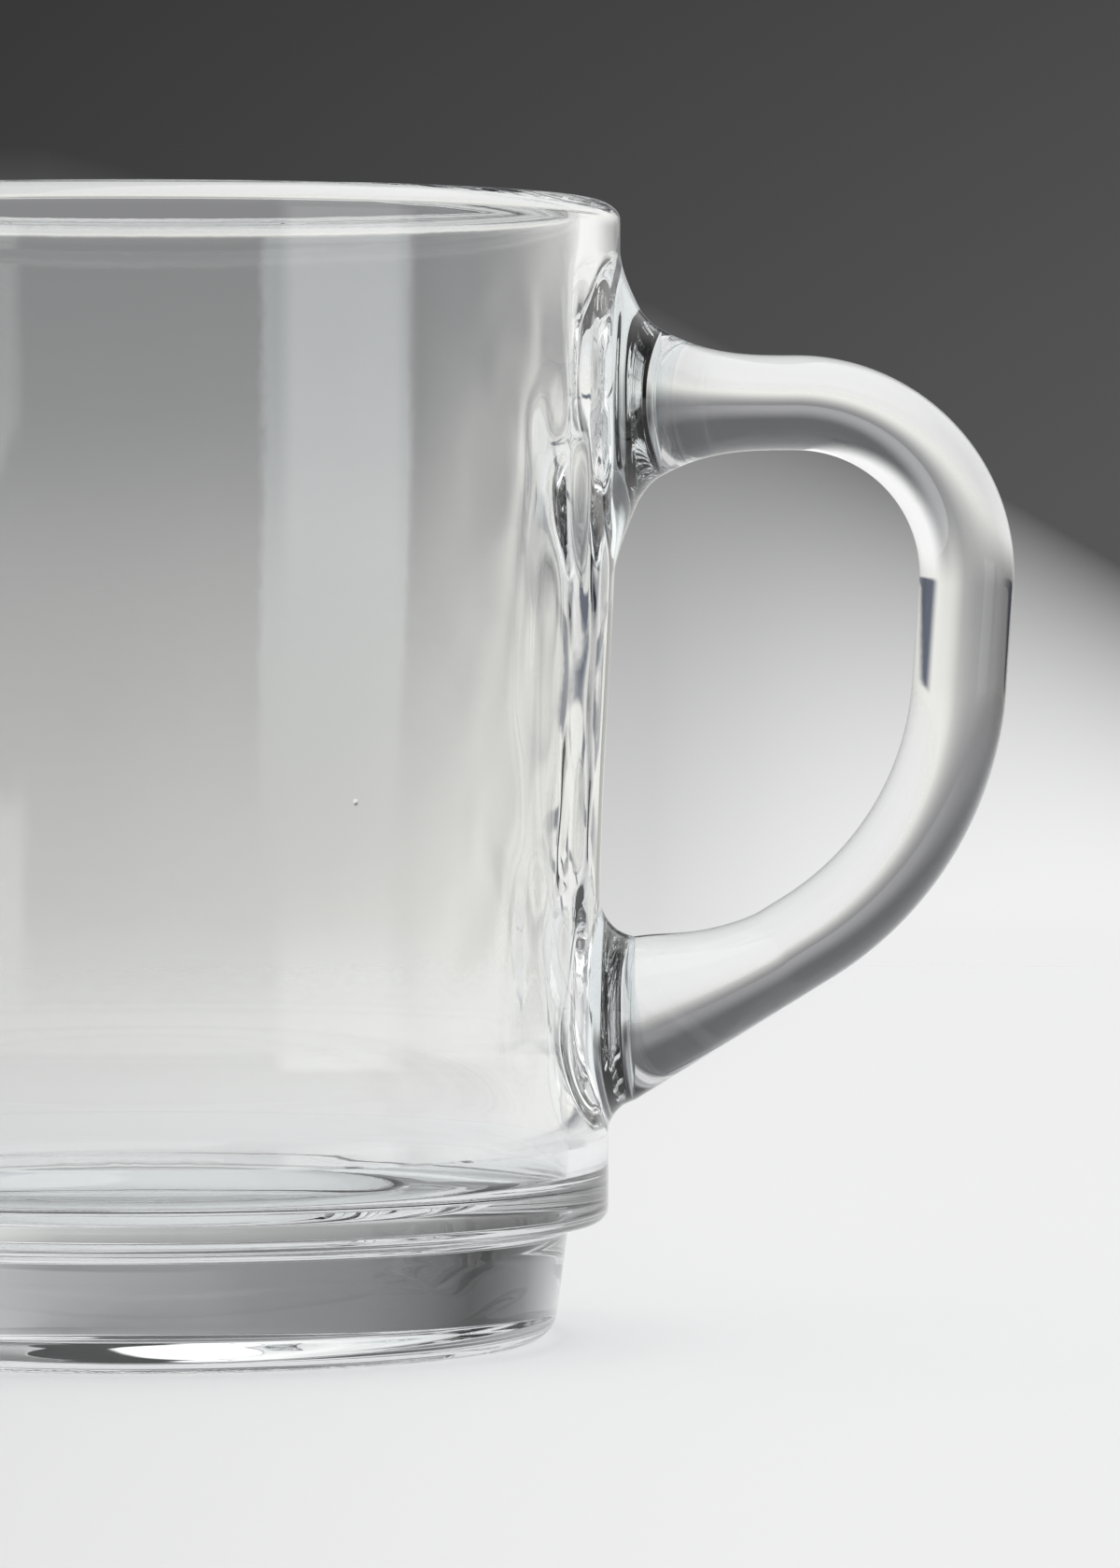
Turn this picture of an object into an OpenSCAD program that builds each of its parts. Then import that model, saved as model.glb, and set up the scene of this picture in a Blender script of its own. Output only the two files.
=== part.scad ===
// Glass coffee mug that stacks: a pressed bowl on a thick base, with a D-shaped handle joined on hot.
// The origin is the centre of the foot on the table. +Z is up and the handle points along +X.
// All lengths are in millimetres and all angles in degrees.

/* [Bowl] */
// Height of the mug from the table to the top of the rim
mug_h = 89; // [86:0.5:110]
// Outer radius at the rim
rim_r = 37.2; // [36.8:0.1:38]
// Thickness of the fire-polished rim
rim_t = 3.1; // [3.1:0.1:4]
// Height over which the wall thickens inwards to the rim
rim_blend_h = 3; // [2:0.5:8]
// Thickness of the wall
wall_t = 3.1; // [2.4:0.1:3.2]
// Outer radius at the waist, the narrowest place of the wall
waist_r = 35.6; // [35.2:0.1:36]
// Height of the waist above the table
waist_z = 30; // [26:1:36]
// Drop from the top of the rim to where the wall has reached the rim's radius
flare_drop = 14; // [9:1:24]

/* [Base] */
// Outer radius of the wall just above the base
base_r = 36.3; // [36:0.1:36.8]
// Height above the table where the bowl meets the base
joint_z = 15.5; // [14:0.1:16]
// Height of the drinking vessel's floor above the table, at its edge
floor_z = 12; // [11:0.1:13]
// Radius of the round corner between the floor and the wall
floor_round_r = 1.6; // [1:0.1:2.7]
// Radius of the flat disc in the middle of the floor
floor_disc_r = 17; // [12:0.5:22]
// Depth of that disc below the floor's edge
floor_dish_h = 1.6; // [0.5:0.1:2]
// Width of the slope round the disc
floor_slope_w = 4; // [3:0.5:6]
// Height above the table of the shoulder that sits on the rim of a mug below
shoulder_z = 9.2; // [8:0.1:10.5]
// Radius of the shoulder's round outer edge
shoulder_round_r = 1.2; // [0.4:0.1:1.4]
// Radius of the foot where it meets the shoulder, which fits inside a rim
foot_top_r = 33.1; // [32.6:0.1:33.3]
// Radius of the foot just above its round lower edge
foot_low_r = 32.3; // [31.5:0.1:32.5]
// Radius of the foot's round lower edge
foot_round_r = 2.3; // [1:0.1:3]
// Radius of the small round corner between the foot and the shoulder
foot_fillet_r = 0.9; // [0.3:0.1:1]
// Inner radius of the flat ring that stands on the table
bearing_in_r = 27.2; // [25:0.1:28]
// Depth of the recess under the base
recess_h = 2.4; // [1:0.1:3]
// Width of the curved side of that recess
recess_side_w = 3.2; // [2:0.1:5]
// Radius of the disc in the middle of the recess
recess_disc_r = 19; // [14:0.5:21]
// Depth of that disc below the rest of the recess
recess_disc_h = 0.5; // [0.2:0.1:0.9]
// Width of the slope round that disc
recess_slope_w = 1.2; // [0.5:0.1:2]

/* [Handle] */
// Reach of the grip's outer side beyond the rim's outer surface
grip_reach = 30.8; // [27:0.1:38]
// Thickness of the handle in its own plane
handle_t = 7.4; // [6:0.1:8.5]
// Thickness of the handle across its plane
handle_w = 9.6; // [7.5:0.1:11]
// Drop of the upper arm's middle line from the top of the rim
arm_drop = 15.8; // [15:0.1:18]
// Height of the lower arm's middle line above the joint of bowl and base, where the arm meets its pad
lower_root_h = 7.5; // [7.2:0.1:9]
// Radius of the upper bend's middle line, as a share of the height between the two arms
upper_bend_share = 0.266; // [0.22:0.001:0.3]
// Radius of the lower bend's middle line, as a share of the height between the two arms
lower_bend_share = 0.5; // [0.42:0.001:0.52]
// Lean of the grip from the vertical, its lower end nearer the mug
grip_lean = 4; // [2:0.5:6]
// Slope of the lower arm from the horizontal
lower_slope = 31.8; // [29:0.1:34]

/* [Weld pads] */
// Distance from the wall to the flat joint between the handle and the upper pad
upper_pad_reach = 3.2; // [2.8:0.1:4.2]
// Height of the handle's upper end at that joint
upper_face_h = 11.5; // [10:0.1:13]
// Width of the handle's upper end at that joint
upper_face_w = 11.6; // [10:0.1:13]
// Length of the handle over which it spreads to that end
upper_spread_len = 10; // [7:0.5:10.5]
// Height of the upper pad where it lies on the wall
upper_pad_h = 21.2; // [18:0.1:22]
// Width of the upper pad where it lies on the wall
upper_pad_w = 15.4; // [13:0.1:18]
// Drop of the upper pad's middle from the arm's middle line
upper_pad_drop = 0.3; // [0:0.1:1.5]
// Distance from the wall to the flat joint between the handle and the lower pad
lower_pad_reach = 2.7; // [2.5:0.1:3.5]
// Extra thickness of the handle on its inner side at that joint, square to the lower arm
lower_spread_t = 3.5; // [2:0.1:4.5]
// Width of the handle's lower end at that joint
lower_face_w = 11.8; // [10:0.1:13]
// Length of the lower arm over which it spreads to that end
lower_spread_len = 13.5; // [8:0.5:14]
// Height of the lower pad where it lies on the wall
lower_pad_h = 16.8; // [14.6:0.1:17]
// Width of the lower pad where it lies on the wall
lower_pad_w = 15; // [13:0.1:17]
// Drop of the lower pad's middle from the middle of the handle's lower end
lower_pad_drop = 0.3; // [0:0.1:0.4]

/* [Hidden] */

glass_colour = [0.82, 0.88, 0.87, 0.55];
weld_colour = [0.62, 0.72, 0.71, 0.75];

// How finely the curves are divided
wall_steps = 22;
arc_steps = 6;
slope_steps = 5;
turn_steps = 128;
section_sides = 28;
bend_steps = 18;
spread_steps = 7;
pad_steps = 7;

// The section of the handle is a superellipse: 1 is an ellipse and less is squarer
section_power_share = 0.88;
// How sharply the handle spreads towards its ends
upper_spread_power_share = 2.85;
lower_spread_power_share = 1.3;
// The part of a pad's spread that runs on straight from the handle; the rest curves away
pad_straight_share = 0.3;
// How far a pad's outline runs on into the wall before the wall cuts it, as a share of its reach
pad_overrun_share = 0.4;

flare_top_z = mug_h - flare_drop;
floor_slope_out_r = floor_disc_r + floor_slope_w;
rim_round_r = rim_t / 2;
recess_top_r = bearing_in_r - recess_side_w;

// Smooth rise from 0 to 1
function ease(u) = let (c = min(max(u, 0), 1)) c * c * (3 - 2 * c);

// Outer radius of the wall at height z: widest at the rim and the base, narrowest at the waist
function wall_r(z) = z > waist_z
    ? waist_r + (rim_r - waist_r) * ease((z - waist_z) / (flare_top_z - waist_z))
    : waist_r + (base_r - waist_r) * ease((waist_z - z) / (waist_z - joint_z));

// Inner radius of the wall at height z, with the rim's inward bead
function bore_r(z) = wall_r(z) - wall_t
    - (rim_t - wall_t) * ease((z - mug_h + rim_round_r + rim_blend_h) / rim_blend_h);

// Points of an arc about [cx, cz] from angle a0 to angle a1
function arc(cx, cz, r, a0, a1) =
    [for (i = [0:arc_steps]) let (a = a0 + (a1 - a0) * i / arc_steps) [cx + r * cos(a), cz + r * sin(a)]];

// Points of a smooth slope from p to q that starts and ends level
function slope(p, q) =
    [for (i = [0:slope_steps])
        let (u = i / slope_steps) [p.x + (q.x - p.x) * u, p.y + (q.y - p.y) * ease(u)]];

// Heights at which the wall's outline has points
wall_z = [for (i = [0:wall_steps]) joint_z + (mug_h - rim_round_r - joint_z) * i / wall_steps];
wall_outside = [for (z = wall_z) [wall_r(z), z]];
wall_inside = [for (i = [wall_steps:-1:0]) [bore_r(wall_z[i]), wall_z[i]]];

// The wall and its half-round rim, turned about the mug's axis
module bowl() {
    rim_middle_r = (wall_outside[wall_steps].x + wall_inside[0].x) / 2;
    rim_half_w = wall_outside[wall_steps].x - rim_middle_r;
    color(glass_colour)
    rotate_extrude($fn = turn_steps)
    union() {
        polygon(concat(wall_outside, wall_inside));
        intersection() {
            translate([rim_middle_r, mug_h - rim_round_r]) circle(r = rim_half_w, $fn = turn_steps);
            translate([rim_middle_r - rim_half_w, mug_h - rim_round_r]) square([rim_t, rim_t]);
        }
    }
}

// The thick floor with its dish, the stacking shoulder, the foot and the recess under it
module base() {
    corner_r = bore_r(joint_z) - floor_round_r;
    outline = concat(
        [[0, floor_z - floor_dish_h]],
        slope([floor_disc_r, floor_z - floor_dish_h], [floor_slope_out_r, floor_z]),
        arc(corner_r, floor_z + floor_round_r, floor_round_r, -90, 0),
        [[bore_r(joint_z), joint_z], [base_r, joint_z]],
        arc(base_r - shoulder_round_r, shoulder_z + shoulder_round_r, shoulder_round_r, 0, -90),
        arc(foot_top_r + foot_fillet_r, shoulder_z - foot_fillet_r, foot_fillet_r, 90, 180),
        arc(foot_low_r - foot_round_r, foot_round_r, foot_round_r, 0, -90),
        slope([bearing_in_r, 0], [recess_top_r, recess_h]),
        slope([recess_disc_r + recess_slope_w, recess_h], [recess_disc_r, recess_h - recess_disc_h]),
        [[0, recess_h - recess_disc_h]]
    );
    color(glass_colour)
    rotate_extrude($fn = turn_steps)
    polygon(outline);
}

// Where the handle's two ends meet their pads
arm_z = mug_h - arm_drop;
upper_face_x = wall_r(arm_z) + upper_pad_reach;
lower_face_z = joint_z + lower_root_h;
lower_face_x = wall_r(lower_face_z) + lower_pad_reach;

// The handle's middle line, as points [x, z]: a level arm, a bend, the straight grip, a wider bend and
// a sloping arm. The grip's length is what the height and the reach leave for it.
handle_span = arm_z - lower_face_z;
upper_bend_r = upper_bend_share * handle_span;
lower_bend_r = lower_bend_share * handle_span;
upper_turn = 90 + grip_lean;
lower_turn = 90 - grip_lean - lower_slope;
upper_centre = [rim_r + grip_reach - handle_t / 2 - upper_bend_r, arm_z - upper_bend_r];
grip_top = upper_centre + upper_bend_r * [cos(grip_lean), -sin(grip_lean)];
lower_bend_step = lower_bend_r * [cos(grip_lean) - sin(lower_slope), cos(lower_slope) - sin(grip_lean)];
straights = grip_top - [lower_face_x, lower_face_z] - lower_bend_step;
grip_len = (straights.y * cos(lower_slope) - straights.x * sin(lower_slope)) / cos(grip_lean + lower_slope);
grip_end = grip_top - grip_len * [sin(grip_lean), cos(grip_lean)];
lower_centre = grip_end + lower_bend_r * [-cos(grip_lean), sin(grip_lean)];
upper_arm_len = upper_centre.x - upper_face_x;
lower_arm_len = (straights.x - grip_len * sin(grip_lean)) / cos(lower_slope);

// A station is [outer point, inner point, half width]: the ends of its section in the handle's plane
function upper_station(s) =
    let (spread = pow(max(1 - s / upper_spread_len, 0), upper_spread_power_share),
         half = (handle_t + (upper_face_h - handle_t) * spread) / 2)
    [[upper_face_x + s, arm_z + half], [upper_face_x + s, arm_z - half],
     (handle_w + (upper_face_w - handle_w) * spread) / 2];

function bend_station(c, r, a) =
    [[c.x + (r + handle_t / 2) * cos(a), c.y + (r + handle_t / 2) * sin(a)],
     [c.x + (r - handle_t / 2) * cos(a), c.y + (r - handle_t / 2) * sin(a)], handle_w / 2];

// On the lower arm s runs from the joint with the pad up to the bend. The outer edge stays straight,
// the inner edge spreads, and the section turns from square to the arm to upright at the joint.
function lower_station(s) =
    let (spread = pow(max(1 - s / lower_spread_len, 0), lower_spread_power_share),
         lean = lower_slope * ease(s / lower_arm_len),
         stretch = 1 / cos(lower_slope - lean),
         middle = [lower_face_x + s * cos(lower_slope), lower_face_z + s * sin(lower_slope)],
         up = [-sin(lean), cos(lean)] * stretch)
    [middle - up * handle_t / 2, middle + up * (handle_t / 2 + lower_spread_t * spread),
     (handle_w + (lower_face_w - handle_w) * spread) / 2];

handle_stations = concat(
    [for (i = [0:spread_steps - 1]) upper_station(upper_arm_len * i / spread_steps)],
    [for (i = [0:bend_steps]) bend_station(upper_centre, upper_bend_r, 90 - upper_turn * i / bend_steps)],
    [for (i = [0:bend_steps])
        bend_station(lower_centre, lower_bend_r, -grip_lean - lower_turn * i / bend_steps)],
    [for (i = [1:2 * spread_steps]) lower_station(lower_arm_len * (1 - i / (2 * spread_steps)))]
);

// Points of the section at a station, a superellipse in the plane of its two points and the Y axis
function round_power(c) = sign(c) * pow(abs(c), section_power_share);
function section(st) =
    let (middle = (st[0] + st[1]) / 2, half = (st[0] - st[1]) / 2)
    [for (i = [0:section_sides - 1])
        let (a = 360 * i / section_sides, p = middle + half * round_power(cos(a)))
        [p.x, st[2] * round_power(sin(a)), p.y]];

// A closed solid through a row of stations, with flat ends
module loft(stations) {
    n = section_sides;
    last = len(stations) - 1;
    points = [for (st = stations) each section(st)];
    skin = [for (k = [0:last - 1]) for (i = [0:n - 1]) let (j = (i + 1) % n)
        each [[k * n + i, (k + 1) * n + i, k * n + j], [k * n + j, (k + 1) * n + i, (k + 1) * n + j]]];
    polyhedron(points, concat(skin, [[for (i = [0:n - 1]) i], [for (i = [n - 1:-1:0]) last * n + i]]));
}

module handle() {
    color(glass_colour)
    loft(handle_stations);
}

// A pad goes from its joint with the handle, where u is 0, to the wall, where u is 1, and a little beyond,
// and spreads as it goes. face and root are [outer point, inner point, half width] at the two ends.
function spread_share(u) = pad_straight_share * u + (1 - pad_straight_share) * u * u;
function pad_station(face, root, u) =
    let (x = face[0].x + (root[0].x - face[0].x) * u, v = spread_share(u))
    [[x, face[0].y + (root[0].y - face[0].y) * v], [x, face[1].y + (root[1].y - face[1].y) * v],
     face[2] + (root[2] - face[2]) * v];

// What the mug takes up inside its outer surface, as a solid plug that runs on straight above the rim
module wall_plug() {
    plug_top_z = mug_h + rim_t;
    rotate_extrude($fn = turn_steps)
    polygon(concat(
        [[0, shoulder_z], [base_r, shoulder_z]],
        wall_outside,
        [[rim_r, plug_top_z], [0, plug_top_z]]
    ));
}

module pad(face, root) {
    end_u = 1 + pad_overrun_share;
    difference() {
        loft([for (i = [0:pad_steps]) pad_station(face, root, end_u * (1 - i / pad_steps))]);
        wall_plug();
    }
}

upper_face = upper_station(0);
upper_pad_z = arm_z - upper_pad_drop;
upper_root = [
    [wall_r(upper_pad_z), upper_pad_z + upper_pad_h / 2],
    [wall_r(upper_pad_z), upper_pad_z - upper_pad_h / 2],
    upper_pad_w / 2
];
lower_face = lower_station(0);
lower_pad_z = (lower_face[0].y + lower_face[1].y) / 2 - lower_pad_drop;
lower_root = [
    [wall_r(lower_pad_z), lower_pad_z - lower_pad_h / 2],
    [wall_r(lower_pad_z), lower_pad_z + lower_pad_h / 2],
    lower_pad_w / 2
];

module upper_weld_pad() {
    color(weld_colour)
    pad(upper_face, upper_root);
}

module lower_weld_pad() {
    color(weld_colour)
    pad(lower_face, lower_root);
}

bowl();
base();
handle();
upper_weld_pad();
lower_weld_pad();
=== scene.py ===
from math import cos, pi, radians, sin
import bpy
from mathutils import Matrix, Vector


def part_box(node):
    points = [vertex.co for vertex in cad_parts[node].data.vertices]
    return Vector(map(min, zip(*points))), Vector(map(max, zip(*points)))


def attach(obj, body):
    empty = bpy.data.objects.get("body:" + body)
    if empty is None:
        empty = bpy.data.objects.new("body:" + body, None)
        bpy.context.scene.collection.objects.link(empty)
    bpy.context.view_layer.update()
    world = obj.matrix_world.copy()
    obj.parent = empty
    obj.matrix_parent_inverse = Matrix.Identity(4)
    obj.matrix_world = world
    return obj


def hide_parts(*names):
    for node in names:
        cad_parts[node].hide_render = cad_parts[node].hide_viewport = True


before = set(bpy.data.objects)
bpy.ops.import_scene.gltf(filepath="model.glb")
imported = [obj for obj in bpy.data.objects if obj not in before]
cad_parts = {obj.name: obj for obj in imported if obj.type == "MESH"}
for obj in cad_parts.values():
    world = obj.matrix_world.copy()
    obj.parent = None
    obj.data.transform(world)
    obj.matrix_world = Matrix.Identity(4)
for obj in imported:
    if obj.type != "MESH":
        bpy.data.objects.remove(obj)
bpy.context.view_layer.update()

from types import SimpleNamespace

import bmesh
import bpy
import numpy as np
from bpy.props import FloatProperty, FloatVectorProperty, PointerProperty
from mathutils import Vector

bl_info = {
    "name": "Glass coffee mug",
    "version": (1, 0, 0),
    "blender": (4, 5, 0),
    "location": "View3D > Sidebar > Glass mug",
    "description": "Builds a glass mug with a welded handle, and a pale studio",
    "category": "Add Mesh",
}

MM = 0.001
BODY = "root"

# How finely the surfaces are divided
TURN_COLUMNS = 288
WINDOW_HALF_COLUMNS = 14
WINDOW_ROWS = 36
SECTION_SIDES = 4 * WINDOW_HALF_COLUMNS + 2 * WINDOW_ROWS
MERGE_DISTANCE = 1e-7

# Material slots of a glass piece
GLASS, JOINT = 0, 1
GLASS_IOR = 1.5

# Marks of the hot joints, in radians and millimetres: the streaks' turn, their start and fade below the rim
# and above the table, their middle and spread at each joint, and the drop's place and half sizes
STREAK_TURN, STREAK_TOP, STREAK_FOOT = 0.45, (2.5, 9), (17, 8)
STREAK_JOINTS = (68, 15), (33, 12)
DROP_TURN, DROP_Z, DROP_LEAN, DROP_HALF_TURN, DROP_HALF_H = 0.37, 65, 0.006, 0.085, 5.5

# Shares between which a pad's skin meets the wall, and the most that its fillet takes of the wall round it
MEETING_SHARES, FILLET_MOST = (0.5, 1.6), 0.55

# The camera's place and aim in millimetres, its lens, and half the table in metres
CAMERA_EYE, CAMERA_AIM = Vector((32.5, -657, 59.5)), Vector((32.5, 0, 43.4))
CAMERA_LENS = 192.9
TABLE_HALF = 2.4

# The seed in the wall: its place in metres, how it is drawn out, and its rise as a share of its radius
SEED_PLACE, SEED_SHAPE, SEED_RISE = (0.0173, -0.0318, 0.0428), (1, 0.3, 0.7), 0.6

# The table's far edge behind the mug, painted as a soft slanting shadow edge into the shaded backdrop: its
# elevation and how fast the tone rises below it, by azimuth, and how the backdrop's painted shade changes
# upwards and to the right
BACK_EDGE = ((-3.5, 2.93), (0.637, 1.87), (3.18, 0.46), (4, -0.02))
BACK_RATE = ((-3.5, 0.062), (0.637, 0.125), (1.27, 0.173), (3.18, 0.36), (4, 0.44))
BACK_SHADE_HEIGHT = ((0.5, 1.4), (4, 1), (12, 0.9))
BACK_SHADE_ACROSS = ((-4, 0.75), (4, 1.3))

# The room that the glass shows, by azimuth: where the table ends, where the room is clear, how light it is and
# what is added just over the table
TABLE_END = ((-24, -9.2), (-4, -7), (3, -5), (9, -3.6), (14, -3))
ROOM_START = ((-24, 2.9), (4, 2.6), (12, 5.5))
ROOM_SHADE = ((-100, 1.3), (-79, 1.2), (-66, 0.5), (-57, 0.05), (-41, 0.08), (-33, 0.45), (-24, 0.75), (-8, 1))
ROOM_LIFT = ((-12, 0), (8, 0.6))

# Windows in azimuth and elevation, each with its low and high end and the soft widths outside
STRIP_WINDOW = (-1, 1.75, 0.2, 0.4), (0.4, 2.1, 2.7, 0.6)
EDGE_WINDOW = (31, 98, 8, 6), (-2.6, -1.5, 0.6, 0.9)
BOX_WINDOW = (112, 141, 4, 3), (-3, 2.2, 6, 1.6)


def length(label, what, millimetres):
    """A length of the mug."""
    return FloatProperty(name=label, description=what, default=millimetres * MM, unit="LENGTH", precision=5)


def angle(label, what, degrees):
    """An angle of the mug."""
    return FloatProperty(name=label, description=what, default=radians(degrees), subtype="ANGLE")


def share(label, what, value, top=1.0):
    """A plain number from 0 to top."""
    return FloatProperty(name=label, description=what, default=value, min=0.0, max=top, subtype="FACTOR")


def tone(label, what, *colour):
    """A linear colour, given as red, green and blue."""
    return FloatVectorProperty(name=label, description=what, default=colour, min=0.0, max=1.0, subtype="COLOR")


class MugBowlSizes(bpy.types.PropertyGroup):
    """Sizes of the wall and its rim."""

    height: length("Height", "From the table up to the rim's top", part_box("bowl")[1].z / MM)
    rim_r: length("Rim radius", "Outer radius of the wall at the rim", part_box("bowl")[1].x / MM)
    rim_t: length("Rim thickness", "Thickness of the round rim", 3.1)
    rim_in_r: length("Inner rim round", "Round on the rim's inner edge", 0.5)
    rim_blend_h: length("Rim blend", "Height in which the wall thickens into the rim", 3)
    wall_t: length("Wall thickness", "Thickness of the wall below the rim", 3.1)
    waist_r: length("Waist radius", "Outer radius where the wall is narrowest", 35.6)
    waist_z: length("Waist height", "Height at which the wall is narrowest", 30)
    low_flare_z: length("Low flare", "Height below which the wall widens to the base", 24)
    flare_drop: length("Flare drop", "From the rim down to the wall's full radius", 14)
    joint_z: length("Joint height", "Height at which the wall meets the base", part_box("bowl")[0].z / MM)


class MugBaseSizes(bpy.types.PropertyGroup):
    """Sizes of the floor, the stacking shoulder, the foot and the recess."""

    base_r: length("Base radius", "Outer radius above the shoulder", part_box("base")[1].x / MM)
    floor_z: length("Floor height", "Height of the inner floor", 12)
    floor_round_r: length("Floor round", "Round between floor and wall", 1.6)
    floor_disc_r: length("Dish radius", "Radius of the dish in the floor", 17)
    floor_dish_h: length("Dish depth", "Depth of the dish in the floor", 1.6)
    floor_slope_w: length("Dish slope", "Width of the slope round the dish", 4)
    shoulder_z: length("Shoulder height", "Height of the stacking shoulder", 9.2)
    shoulder_round_r: length("Shoulder round", "Round on the shoulder's edge", 1.2)
    foot_top_r: length("Foot top radius", "Radius of the foot under the shoulder", 33.1)
    foot_low_r: length("Foot low radius", "Radius of the foot at its lower round", 32.3)
    foot_round_r: length("Foot round", "Round between the foot's side and the table", 2.3)
    foot_fillet_r: length("Foot fillet", "Fillet between foot and shoulder", 0.9)
    bearing_in_r: length("Bearing radius", "Inner radius of the ring on the table", 27.2)
    recess_h: length("Recess height", "Height of the recess under the floor", 2.4)
    recess_side_w: length("Recess side", "Width of the recess's sloping side", 3.2)
    recess_disc_r: length("Disc radius", "Radius of the raised disc in the recess", 19)
    recess_disc_h: length("Disc height", "How far the disc stands out", 0.5)
    recess_slope_w: length("Disc slope", "Width of the slope round the disc", 1.2)


class MugHandleSizes(bpy.types.PropertyGroup):
    """Sizes of the handle's rod."""

    grip_reach: length("Grip reach", "From the rim out to the grip's outer side", 30.8)
    handle_t: length("Rod thickness", "Thickness in the handle's plane", 7.4)
    handle_w: length("Rod width", "Width across the handle's plane", 9.6)
    arm_drop: length("Arm drop", "From the rim down to the upper arm's middle", 15.8)
    lower_root_h: length("Lower root", "From the base joint up to the lower arm's end", 7.5)
    upper_bend: share("Upper bend", "Radius as a share of the handle's height", 0.266)
    lower_bend: share("Lower bend", "Radius as a share of the handle's height", 0.5)
    grip_lean: angle("Grip lean", "How far the grip leans in downwards", 4)
    lower_slope: angle("Lower slope", "Slope of the lower arm", 31.8)
    section_power: share("Section power", "1 is an oval section and less is squarer", 0.88)


class MugWeldSizes(bpy.types.PropertyGroup):
    """Sizes of the two pads that join the handle to the wall."""

    upper_pad_reach: length("Upper reach", "How far the upper pad stands out", 3.2)
    upper_face_h: length("Upper end height", "Height of the rod's upper end", 11.5)
    upper_face_w: length("Upper end width", "Width of the rod's upper end", 11.6)
    upper_spread_len: length("Upper spread", "Length in which the rod spreads to its upper end", 10)
    upper_pad_h: length("Upper pad height", "Height of the upper pad on the wall", 21.2)
    upper_pad_w: length("Upper pad width", "Width of the upper pad on the wall", 15.4)
    upper_pad_drop: length("Upper pad drop", "Middle of that pad below the arm's middle", 0.3)
    lower_pad_reach: length("Lower reach", "How far the lower pad stands out", 2.7)
    lower_spread_t: length("Lower spread", "Extra thickness of the rod's lower end", 3.5)
    lower_face_w: length("Lower end width", "Width of the rod's lower end", 11.8)
    lower_spread_len: length("Lower spread length", "Length in which the rod spreads to its lower end", 13.5)
    lower_pad_h: length("Lower pad height", "Height of the lower pad on the wall", 16.8)
    lower_pad_w: length("Lower pad width", "Width of the lower pad on the wall", 15)
    lower_pad_drop: length("Lower pad drop", "Middle of that pad below the rod's end", 0.3)
    upper_power: share("Upper sharpness", "How sharply the rod's upper end spreads", 2.85, 4)
    lower_power: share("Lower sharpness", "How sharply the rod's lower end spreads", 1.3, 4)
    straight_share: share("Straight share", "Part of a pad's spread that runs on from the rod", 0.3)
    fillet_w: length("Fillet", "Width of the fillet between a pad and the wall", 1.6)
    fillet_share: share("Fillet share", "Part of a pad's skin that the fillet takes", 0.5)
    lower_window_top: length("Lower window", "Top of the lower pad's part of the wall's grid", 36)
    upper_window_low: length("Upper window", "Foot of the upper pad's part of that grid", 58.5)
    upper_window_top: length("Upper window top", "Top of the upper pad's part of that grid", 86.4)


class MugGlassLook(bpy.types.PropertyGroup):
    """Colour and finish of the glass."""

    clear_tint: tone("Clear tint", "The glass", 0.985, 0.988, 0.982)
    deep_tint: tone("Deep tint", "What the glass drifts towards", 0.955, 0.967, 0.96)
    base_tint: tone("Base tint", "The thick glass of the base", 0.958, 0.974, 0.98)
    pad_tint: tone("Pad tint", "The pads that join the handle", 0.8, 0.86, 0.87)
    wave_h: length("Wave height", "Height of the faint waves of pressed glass", 0.012)
    streak_h: length("Streak height", "Height of the streaks inside by the handle", 0.12)
    drop_h: length("Drop height", "Height of the drop on each side of the upper joint", 0.3)
    dot_h: length("Dot height", "Height of the dots under the foot", 0.1)
    dot_pitch: length("Dot pitch", "Distance between the dots under the foot", 0.65)
    seed_r: length("Seed radius", "The small seed in the front wall", 0.22)


class MugStudioLook(bpy.types.PropertyGroup):
    """Tones of the table and of the studio."""

    table_tone: tone("Table", "The pale table", 0.88, 0.88, 0.885)
    low_tone: tone("Low studio", "What the glass shows low down", 0.885, 0.885, 0.85)
    # Painted shade: the table's tone on the left, darker as if away from the light
    table_far: tone("Table on the left", "The table away from the light", 0.74, 0.74, 0.745)
    # Painted shade: the dark backdrop stands for the studio sweep falling into shadow behind the mug
    wall_tone: tone("Dark wall", "What the camera sees behind the mug", 0.052, 0.052, 0.053)
    room_tone: tone("Room", "The room behind the mug just over the table", 0.25, 0.25, 0.258)
    high_tone: tone("High room", "The same room higher up", 0.1, 0.102, 0.11)
    strip_tone: tone("Strip", "What the light strip behind the mug adds", 0.13, 0.142, 0.148)
    left_tone: tone("Left side", "The studio on the left", 0.31, 0.315, 0.33)
    edge_tone: tone("Table edge", "The dark edge of the table on the right", 0.12, 0.135, 0.175)
    card_tone: tone("Card", "The lit card on the right behind the mug", 0.98, 0.98, 0.98)
    right_tone: tone("Right side", "The studio on the right", 0.42, 0.42, 0.43)
    right_low: tone("Low right side", "The same side at the table's height", 1, 0.99, 0.97)
    front_tone: tone("Front", "The studio behind the camera", 0.23, 0.23, 0.235)
    front_high: tone("High front", "The studio above the camera", 0.62, 0.62, 0.62)
    soft_box: share("Soft box", "Strength of the one beside the camera", 1.4, 4)
    top_box: share("Top box", "Strength of the one overhead", 1.28, 4)
    floor_r: length("Table radius", "Where the table starts to fade", 150)


def ease(u):
    """Smooth rise from 0 to 1: three u squared less two u cubed, held at both ends."""
    c = np.clip(u, 0, 1)
    return c * c * (3 - 2 * c)


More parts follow.
